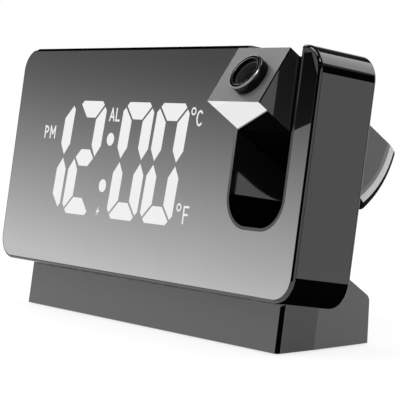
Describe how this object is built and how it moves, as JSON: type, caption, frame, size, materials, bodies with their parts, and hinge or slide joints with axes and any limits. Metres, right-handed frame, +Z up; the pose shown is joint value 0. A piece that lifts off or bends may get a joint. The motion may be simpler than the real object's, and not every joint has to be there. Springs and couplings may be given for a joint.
{
  "type": "projection alarm clock",
  "caption": "Mirror-faced digital alarm clock leaning on a wedge stand, with a see-saw projector arm that swings through a slot in its case",
  "frame": {"origin": "middle of the overall box, on the surface that the feet stand on", "axes": "+X to the viewer's right along the display, +Y from the display to the rear, +Z up"},
  "size_m": [0.185, 0.0644, 0.101],
  "materials": {
    "gloss_black": "high gloss moulded",
    "mirror_face": "half-mirrored acrylic",
    "display_white": "light-guide, lit from behind",
    "white_reflector": "matte white",
    "circuit_board": "green board",
    "board_part": "moulded black component",
    "bright_metal": "plated",
    "screw_steel": "zinc plated",
    "button_black": "fine satin",
    "speaker_paper": "pressed paper",
    "magnet_steel": "sintered",
    "lens_face_grey": "gloss grey",
    "ring_black": "gloss black",
    "clear_lens": "polished",
    "image_film": "film in glass",
    "led_red": "red epoxy",
    "led_warm": "chip with phosphor",
    "friction_pad": "acetal",
    "foot_rubber": "matte",
    "hub_plastic": "acetal"
  },
  "bodies": {
    "clock_body": {"front_housing": "gloss_black", "rear_cover": "gloss_black", "cover_screws": "screw_steel", "mirror_panel": "mirror_face", "display_segments": "display_white", "display_indicators": "display_white", "display_reflector": "white_reflector", "display_leds": "led_warm", "display_board": "circuit_board", "display_screws": "screw_steel", "main_board": "circuit_board", "main_board_screws": "screw_steel", "clock_chip": "board_part", "button_switches": "board_part", "speaker_frame": "board_part", "speaker_cone": "speaker_paper", "speaker_magnet": "magnet_steel", "usb_port": "bright_metal", "usb_tongue": "white_reflector", "power_socket": "board_part", "power_pin": "bright_metal", "temperature_sensor": "board_part", "cell_holder": "board_part", "backup_cell": "bright_metal", "friction_washers": "friction_pad", "stand_shell": "gloss_black", "stand_floor": "button_black", "stand_feet": "foot_rubber", "stand_screws": "screw_steel", "case_screws": "screw_steel"},
    "snooze_button": {"snooze_bar": "gloss_black"},
    "set_key": {"set_button": "button_black"},
    "alarm_key": {"alarm_button": "button_black"},
    "up_key": {"up_button": "button_black"},
    "down_key": {"down_button": "button_black"},
    "projector_key": {"projector_button": "button_black"},
    "battery_door": {"cell_door": "gloss_black"},
    "projector_arm": {"arm_shell": "gloss_black", "arm_face": "lens_face_grey", "arm_face_screws": "screw_steel", "left_hub": "hub_plastic", "right_hub": "hub_plastic", "optics_tube": "board_part", "image_slide": "image_film", "condenser_lens": "clear_lens", "projector_led": "led_red", "projector_board": "circuit_board", "projector_board_screws": "screw_steel"},
    "focus_wheel": {"focus_ring": "ring_black", "focus_clip": "screw_steel"},
    "focus_cell": {"lens_cell": "board_part", "projection_lens": "clear_lens"}
  },
  "joints": [
    {"name": "projector_swing", "type": "hinge", "parent": "clock_body", "child": "projector_arm", "pos_m": [0.068, -0.00171, 0.07549], "axis": [-1, 0, 0], "range_deg": [-27.5, 152.5]},
    {"name": "focus_turn", "type": "hinge", "parent": "projector_arm", "child": "focus_wheel", "pos_m": [0.071, -0.02534, 0.09012], "axis": [0, -0.8039, 0.5948], "range_deg": [-120, 120]},
    {"name": "focus_travel", "type": "slide", "parent": "projector_arm", "child": "focus_cell", "axis": [0, -0.8039, 0.5948], "range_m": [-0.001, 0.001]},
    {"name": "snooze_press", "type": "slide", "parent": "clock_body", "child": "snooze_button", "axis": [0, -0.1564, -0.9877], "range_m": [0, 0.0008], "stiffness_N_per_m": 400},
    {"name": "set_press", "type": "slide", "parent": "clock_body", "child": "set_key", "axis": [0, -0.9877, 0.1564], "range_m": [0, 0.0008], "stiffness_N_per_m": 300},
    {"name": "alarm_press", "type": "slide", "parent": "clock_body", "child": "alarm_key", "axis": [0, -0.9877, 0.1564], "range_m": [0, 0.0008], "stiffness_N_per_m": 300},
    {"name": "up_press", "type": "slide", "parent": "clock_body", "child": "up_key", "axis": [0, -0.9877, 0.1564], "range_m": [0, 0.0008], "stiffness_N_per_m": 300},
    {"name": "down_press", "type": "slide", "parent": "clock_body", "child": "down_key", "axis": [0, -0.9877, 0.1564], "range_m": [0, 0.0008], "stiffness_N_per_m": 300},
    {"name": "projector_press", "type": "slide", "parent": "clock_body", "child": "projector_key", "axis": [0, -0.9877, 0.1564], "range_m": [0, 0.0008], "stiffness_N_per_m": 300},
    {"name": "battery_door_lift", "type": "slide", "parent": "clock_body", "child": "battery_door", "axis": [0, 0.9877, -0.1564], "range_m": [0, 0.015]}
  ],
  "couplings": [
    {"joint": "focus_turn", "follows": "focus_travel", "rad_per_m": 2094.4}
  ]
}
